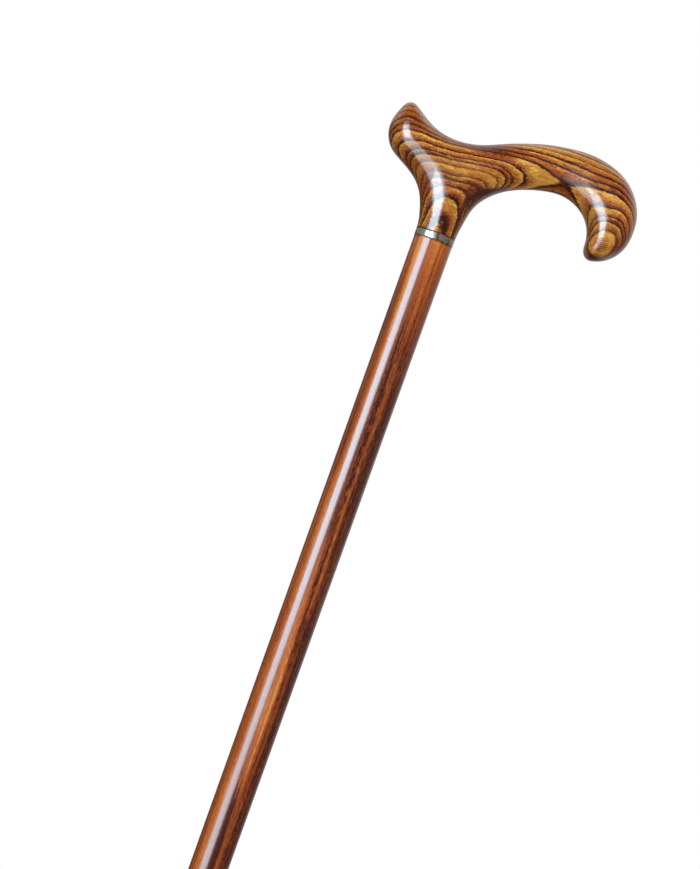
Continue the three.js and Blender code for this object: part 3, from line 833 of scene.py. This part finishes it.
def turning_tree():
    """Geometry nodes that turn a row of profile points round the upright axis."""
    group = bpy.data.node_groups.new("turned_form", "GeometryNodeTree")
    for name, kind in (
            ("Profile", "Geometry"), ("Segments", "Int"), ("Crease angle", "Float"),
            ("Finish", "Material")):
        group.interface.new_socket(name, in_out="INPUT", socket_type="NodeSocket" + kind)
    group.interface.new_socket("Piece", in_out="OUTPUT", socket_type="NodeSocketGeometry")
    g = Tree(group)
    profile, segments, crease, finish = g.outputs(g.add("NodeGroupInput"))[:4]

    # A grid with a row for each profile point and a column for each facet, rolled up
    rows = g.add("GeometryNodeAttributeDomainSize", None, {"Geometry": profile}, "Point Count")
    columns = segments + 1.0
    grid = g.add("GeometryNodeMeshGrid", None, {
        "Size X": 1.0, "Size Y": 1.0, "Vertices X": rows, "Vertices Y": columns})
    index = g.add("GeometryNodeInputIndex")
    row = g.maths("FLOOR", (index + 0.5) / columns)
    angle = (index - row * columns) / segments * (2 * math.pi)
    sample = g.add("GeometryNodeSampleIndex", {"data_type": "FLOAT_VECTOR", "domain": "POINT"}, {
        "Geometry": profile, "Value": g.add("GeometryNodeInputPosition"), "Index": row})
    radius, _, height = g.parts(sample)
    turned = g.add("ShaderNodeCombineXYZ", None, {
        0: radius * g.maths("COSINE", angle), 1: radius * g.maths("SINE", angle), 2: height})
    moved = g.add("GeometryNodeSetPosition", None, {"Geometry": grid, "Position": turned})
    closed = g.add("GeometryNodeMergeByDistance", None, {"Geometry": moved, "Distance": 1e-6})

    # Smooth all over, but for the edges that bend more than the crease angle
    smooth = g.add("GeometryNodeSetShadeSmooth", {"domain": "FACE"}, {
        "Geometry": closed, "Shade Smooth": True})
    bend = g.add("GeometryNodeInputMeshEdgeAngle", output="Unsigned Angle")
    soft = g.add("FunctionNodeCompare", {"data_type": "FLOAT", "operation": "LESS_EQUAL"}, {
        0: bend, 1: crease})
    creased = g.add("GeometryNodeSetShadeSmooth", {"domain": "EDGE"}, {
        "Geometry": smooth, "Shade Smooth": soft})
    real = g.add("GeometryNodeRealizeInstances", None, {"Geometry": creased})
    dressed = g.add("GeometryNodeSetMaterial", None, {"Geometry": real, "Material": finish})
    g.add("NodeGroupOutput", None, {"Piece": dressed})
    return group


def turned_piece(name, profile, segments, material):
    """A closed turned piece from its outline, given as (radius, height) pairs in millimetres."""
    tree = bpy.data.node_groups.get("turned_form") or turning_tree()
    row = bpy.data.meshes.new(name + "_row")
    row.from_pydata([(r * MM, 0, z * MM) for r, z in profile], [], [])
    maker = add_object(name + "_row", row)
    modifier = maker.modifiers.new("Turning", "NODES")
    modifier.node_group = tree
    values = {"Segments": segments, "Crease angle": CREASE, "Finish": material}
    for item in tree.interface.items_tree:
        if item.in_out == "INPUT" and item.name in values:
            modifier[item.identifier] = values[item.name]
    depsgraph = bpy.context.evaluated_depsgraph_get()
    mesh = bpy.data.meshes.new_from_object(maker.evaluated_get(depsgraph), depsgraph=depsgraph)
    mesh.name = name
    bpy.data.objects.remove(maker)
    bpy.data.meshes.remove(row)
    face_outwards(mesh)
    return add_object(name, mesh)


def face_outwards(mesh):
    """Turns the faces round if the closed mesh is inside out."""
    shape = bmesh.new()
    shape.from_mesh(mesh)
    if shape.calc_volume(signed=True) < 0:
        bmesh.ops.reverse_faces(shape, faces=shape.faces[:])
    shape.to_mesh(mesh)
    shape.free()


def arc(centre, radius, start, end, steps):
    """Points of a rounding in an outline, from one angle in degrees to another."""
    angles = [math.radians(start + (end - start) * n / steps) for n in range(steps + 1)]
    return [(centre[0] + radius * math.cos(a), centre[1] + radius * math.sin(a)) for a in angles]


def dense(profile, longest):
    """The outline with its long straights divided, and with a short stretch at both their ends."""
    margin = 0.3
    points = [profile[0]]
    for (r0, z0), (r1, z1) in zip(profile, profile[1:]):
        length = math.hypot(r1 - r0, z1 - z0)
        shares = [1.0]
        if length > longest:
            count = math.ceil(length / longest)
            middle = [n / count for n in range(1, count)]
            shares = [margin / length, *middle, 1 - margin / length, 1.0]
        points += [(r0 + (r1 - r0) * s, z0 + (z1 - z0) * s) for s in shares]
    return points


# Operators


class STICK_OT_handle(bpy.types.Operator):
    """Carve the derby handle and stain it"""
    bl_idname = "stick.handle"
    bl_label = "Carved handle"

    def execute(self, context):
        settings = context.scene.stick_handle
        points, faces = carved_points(settings.fineness * PER_METRE)
        points = (points + (0, 0, COLLAR_TOP)) * MM
        piece = mesh_object("carved_handle", points, faces, striped_wood(settings))
        finish_neck(piece, settings.lower_edge, pin_high.z + ROOM_OVER_PIN * MM)
        piece.data.shade_smooth()
        piece.data.set_sharp_from_angle(angle=SHARP_EDGE)
        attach(piece, HANDLE_BODY)
        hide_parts("handle")
        return {"FINISHED"}


class STICK_OT_collar(bpy.types.Operator):
    """Turn the metal collar"""
    bl_idname = "stick.collar"
    bl_label = "Metal collar"

    def execute(self, context):
        settings = context.scene.stick_collar
        edge = settings.edge * PER_METRE
        inner, facets = NECK_RADIUS - COLLAR_WALL, 160
        profile = [(inner, COLLAR_FOOT)]
        profile += arc((NECK_RADIUS - edge, COLLAR_FOOT + edge), edge, -90, 0, 6)
        profile += arc((NECK_RADIUS - edge, COLLAR_TOP - edge), edge, 0, 90, 6)
        profile += [(inner, COLLAR_TOP), (inner, COLLAR_FOOT)]
        piece = turned_piece("metal_collar", profile, facets, dull_nickel(settings))
        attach(piece, HANDLE_BODY)
        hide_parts("collar")
        return {"FINISHED"}


class STICK_OT_shaft(bpy.types.Operator):
    """Turn the tapering shaft and stain it"""
    bl_idname = "stick.shaft"
    bl_label = "Stained shaft"

    def execute(self, context):
        settings = context.scene.stick_shaft
        foot, top = shaft_low.z * PER_METRE, shaft_high.z * PER_METRE
        bore_foot = COLLAR_TOP - BORE_DEPTH
        edge, longest = 0.3, 12.0
        outline = arc((SHAFT_FOOT_RADIUS - edge, foot + edge), edge, -90, 0, 4)
        outline += arc((SHAFT_TOP_RADIUS - edge, COLLAR_FOOT - edge), edge, 0, 90, 4)
        outline += [(SPIGOT_RADIUS, COLLAR_FOOT), (SPIGOT_RADIUS, top)]
        outline += [(BORE_RADIUS, top), (BORE_RADIUS, bore_foot)]
        profile = [(0, foot), *dense(outline, longest), (0, bore_foot)]
        piece = turned_piece("stained_shaft", profile, settings.segments, stained_wood(settings))
        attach(piece, HANDLE_BODY)
        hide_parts("shaft")
        return {"FINISHED"}


class STICK_OT_ferrule(bpy.types.Operator):
    """Mould the rubber ferrule"""
    bl_idname = "stick.ferrule"
    bl_label = "Rubber ferrule"

    def execute(self, context):
        settings = context.scene.stick_ferrule
        piece = turned_piece(
            "rubber_ferrule", ferrule_outline(), settings.segments, moulded_rubber(settings))
        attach(piece, FOOT_BODY)
        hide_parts("ferrule")
        return {"FINISHED"}


def ferrule_outline():
    """The ferrule's outline: out over its tread, up its side and down its bore."""
    height, floor, base, base_height = 46.0, 9.0, 16.5, 8.0
    wall, flare, bead, lip = 2.6, 15.0, 1.6, 0.8
    shaft_foot = shaft_low.z * PER_METRE

    def bore_at(z):
        share = (z - shaft_foot) / (COLLAR_FOOT - shaft_foot)
        return SHAFT_FOOT_RADIUS + (SHAFT_TOP_RADIUS - SHAFT_FOOT_RADIUS) * share + FERRULE_ROOM

    profile = [(0, 0)]
    pad, groove, ridge, depth = 6.0, 1.6, 1.9, 1.8
    draft, soft, corner = 0.2, 0.25, 1.5
    radius = pad
    while radius + groove + ridge < base - corner:
        crest = radius + groove
        profile += arc((radius - soft, soft), soft, -90, 0, 3)
        profile += arc((radius + draft + soft, depth - soft), soft, 180, 90, 3)
        profile += arc((crest - draft - soft, depth - soft), soft, 90, 0, 3)
        profile += arc((crest + soft, soft), soft, 180, 270, 3)
        radius = crest + ridge
    profile += arc((base - corner, corner), corner, -90, 0, 8)
    tube, steps = bore_at(height) + wall, 24
    for n in range(steps + 1):
        rise = n / steps
        drawn = (1 - math.cos(rise * math.pi)) / 2
        profile.append((base + (tube - base) * drawn, base_height + rise * flare))
    middle, spacing = height - bead, 4.5
    for n in (2, 1):
        profile += ring_outline(tube, middle - n * spacing)
    profile += arc((tube, middle), bead, -90, 90, 12)
    profile += [(bore_at(height) + lip, height), (bore_at(height), height - lip)]
    profile += [(bore_at(shaft_foot), floor), (0, floor)]
    return profile


def ring_outline(tube, middle):
    """A raised ring with soft edges on the ferrule's tube."""
    half, proud, steps = 1.25, 0.7, 12
    turns = [-1 + 2 * n / steps for n in range(steps + 1)]
    return [(tube + proud * (1 - abs(turn) ** 3), middle + turn * half) for turn in turns]


class STICK_OT_inner_steel(bpy.types.Operator):
    """Finish the pin and the disc that stay as the part has them"""
    bl_idname = "stick.inner_steel"
    bl_label = "Pin and disc"

    def execute(self, context):
        finishes = {
            "joint_pin": plain_steel("turned_steel", (0.4, 0.4, 3.0)),
            "ferrule_disc": plain_steel("pressed_steel", (1.4, 1.4, 0.5)),
        }
        for node, finish in finishes.items():
            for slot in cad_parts[node].material_slots:
                slot.material = finish
        return {"FINISHED"}


class STICK_OT_stage(bpy.types.Operator):
    """Set up the camera, the lamps, the world and the floor"""
    bl_idname = "stick.stage"
    bl_label = "Stage"

    def execute(self, context):
        settings = context.scene.stick_stage
        scene = context.scene
        scene.view_settings.view_transform = "Standard"
        axes, target = picture_axes(settings)
        make_camera(scene, settings, axes, target)
        # Degrees round and above as the camera sees them, distance, size and watts
        for name, *where in (
                ("strip_softbox", -33.5, 9.0, 1.6, (0.98, 1.33), 32.0),
                ("strip_halo", -33.5, 0.0, 1.7, (1.45, 2.65), 45.0)):
            lamp = place_lamp(name, axes, target, *where)
            lamp.data.color = tint("D0EEFE")
            lamp.visible_diffuse = False
        for name, *where in (
                ("key_softbox", 12.0, 44.0, 2.2, (1.6, 1.6), 13.0),
                ("front_softbox", 4.0, -8.0, 2.5, (1.4, 1.4), 38.0)):
            lamp = place_lamp(name, axes, target, *where)
            lamp.visible_glossy = False
        make_world(scene)
        make_floor(settings)
        return {"FINISHED"}


def picture_axes(settings):
    """The picture's right and up and the way to the camera, and the point in the middle."""
    rise, lean = settings.look_up, settings.lean
    level_right = Vector((1, 0, 0))
    level_up = Vector((0, -math.sin(rise), math.cos(rise)))
    towards = Vector((0, -math.cos(rise), -math.sin(rise)))
    right = math.cos(lean) * level_right + math.sin(lean) * level_up
    up = -math.sin(lean) * level_right + math.cos(lean) * level_up
    middle_right, middle_up = -0.00652, -0.10847
    target = Vector((0, 0, COLLAR_TOP * MM)) + level_right * middle_right + level_up * middle_up
    return (right, up, towards), target


def make_camera(scene, settings, axes, target):
    """A long lens that frames the handle and the top of the shaft as the picture does."""
    data = bpy.data.cameras.new("camera")
    data.sensor_width = 36.0
    data.lens = data.sensor_width * settings.distance / settings.frame_height
    camera = add_object("camera", data)
    turn = Matrix(axes).transposed().to_4x4()
    camera.matrix_world = Matrix.Translation(target + axes[2] * settings.distance) @ turn
    scene.camera = camera


def place_lamp(name, axes, target, around, above, distance, size, power):
    """A softbox round the stick, at angles seen from the camera, upright in the picture."""
    aim_above = 0.11
    right, up, towards = axes
    a, e = math.radians(around), math.radians(above)
    way = right * math.sin(a) * math.cos(e) + up * math.sin(e) + towards * math.cos(a) * math.cos(e)
    data = bpy.data.lights.new(name, "AREA")
    data.shape = "RECTANGLE"
    data.size, data.size_y = size
    data.energy = power
    lamp = add_object(name, data)
    side = up.cross(way).normalized()
    turn = Matrix((side, way.cross(side), way)).transposed().to_4x4()
    lamp.matrix_world = Matrix.Translation(target + up * aim_above + way * distance) @ turn
    return lamp


def make_world(scene):
    """White for the camera, with a white backdrop behind the stick in a soft grey studio."""
    world = bpy.data.worlds.new("studio")
    scene.world = world
    f = Finish(world)
    rays = f.add("ShaderNodeLightPath").socket.node.outputs
    seen = Value(f, rays["Is Camera Ray"]) + Value(f, rays["Is Transmission Ray"])
    mirrored = Value(f, rays["Is Glossy Ray"])
    across, back, height = f.parts(f.add("ShaderNodeTexCoord"))
    front = f.fall(back, -0.98, -0.6) * f.smooth(height, 0.1, 0.35)
    above = f.smooth(back, -0.2, 0.5) * f.smooth(height, 0.0, 0.5) * 0.5
    beside = f.smooth(across, 0.5, 0.9) * 0.07
    beside = beside + f.smooth(across, 0.2, 0.4) * f.smooth(back, 0.45, 0.8) * 0.4
    behind = f.smooth(back, 0.92, 0.97) * 0.4
    gloss = 0.05 + front * 0.32 + above + beside + behind
    soft = 0.2 + f.smooth(height - 0.5 * across, -0.6, 0.8) * 0.3 + f.fall(back, -0.9, 0.1) * 0.16
    level = seen + (1.0 - seen) * (mirrored * gloss + (1.0 - mirrored) * soft)
    light = f.add("ShaderNodeBackground", None, {"Color": (1, 1, 1, 1), "Strength": level})
    f.add("ShaderNodeOutputWorld", None, {"Surface": light})


def make_floor(settings):
    """A wide pale floor under the ferrule."""
    reach, steps = 30.0, 96
    points = [(0, 0, 0)] + [(x, y, 0) for x, y in arc((0, 0), reach, 0, 360, steps)[:-1]]
    faces = [(0, n + 1, (n + 1) % steps + 1) for n in range(steps)]
    f = new_material("pale_floor")
    fleck = f.noise(f.spot(), (0.004, 0.004, 0.004))
    colour = f.blend(fleck * 0.2, settings.floor, tint("E6E6E3"))
    floor = mesh_object("floor", points, faces, f.surface(Base_Color=colour, Roughness=0.9))
    floor.visible_glossy = False
    floor.visible_diffuse = False
    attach(floor, FOOT_BODY)


class STICK_PT_panel(bpy.types.Panel):
    """Sizes, colours and steps of the stick"""
    bl_idname = "STICK_PT_panel"
    bl_label = "Walking stick"
    bl_space_type = "VIEW_3D"
    bl_region_type = "UI"
    bl_category = "Stick"

    def draw(self, context):
        for name in SETTINGS:
            group = getattr(context.scene, name)
            box = self.layout.box()
            for key in group.bl_rna.properties.keys():
                if key not in ("rna_type", "name"):
                    box.prop(group, key)
        for operator in OPERATORS:
            self.layout.operator(operator.bl_idname)


SETTINGS = {
    "stick_handle": HandleSettings,
    "stick_collar": CollarSettings,
    "stick_shaft": ShaftSettings,
    "stick_ferrule": FerruleSettings,
    "stick_stage": StageSettings,
}
OPERATORS = (
    STICK_OT_handle, STICK_OT_collar, STICK_OT_shaft, STICK_OT_ferrule, STICK_OT_inner_steel,
    STICK_OT_stage,
)


def register():
    for name, group in SETTINGS.items():
        bpy.utils.register_class(group)
        setattr(bpy.types.Scene, name, PointerProperty(type=group))
    for kind in (*OPERATORS, STICK_PT_panel):
        bpy.utils.register_class(kind)


def unregister():
    for kind in (STICK_PT_panel, *reversed(OPERATORS)):
        bpy.utils.unregister_class(kind)
    for name, group in SETTINGS.items():
        delattr(bpy.types.Scene, name)
        bpy.utils.unregister_class(group)


def main():
    register()
    bpy.ops.stick.stage()
    bpy.ops.stick.handle()
    bpy.ops.stick.collar()
    bpy.ops.stick.shaft()
    bpy.ops.stick.ferrule()
    bpy.ops.stick.inner_steel()


if __name__ == "__main__":
    main()
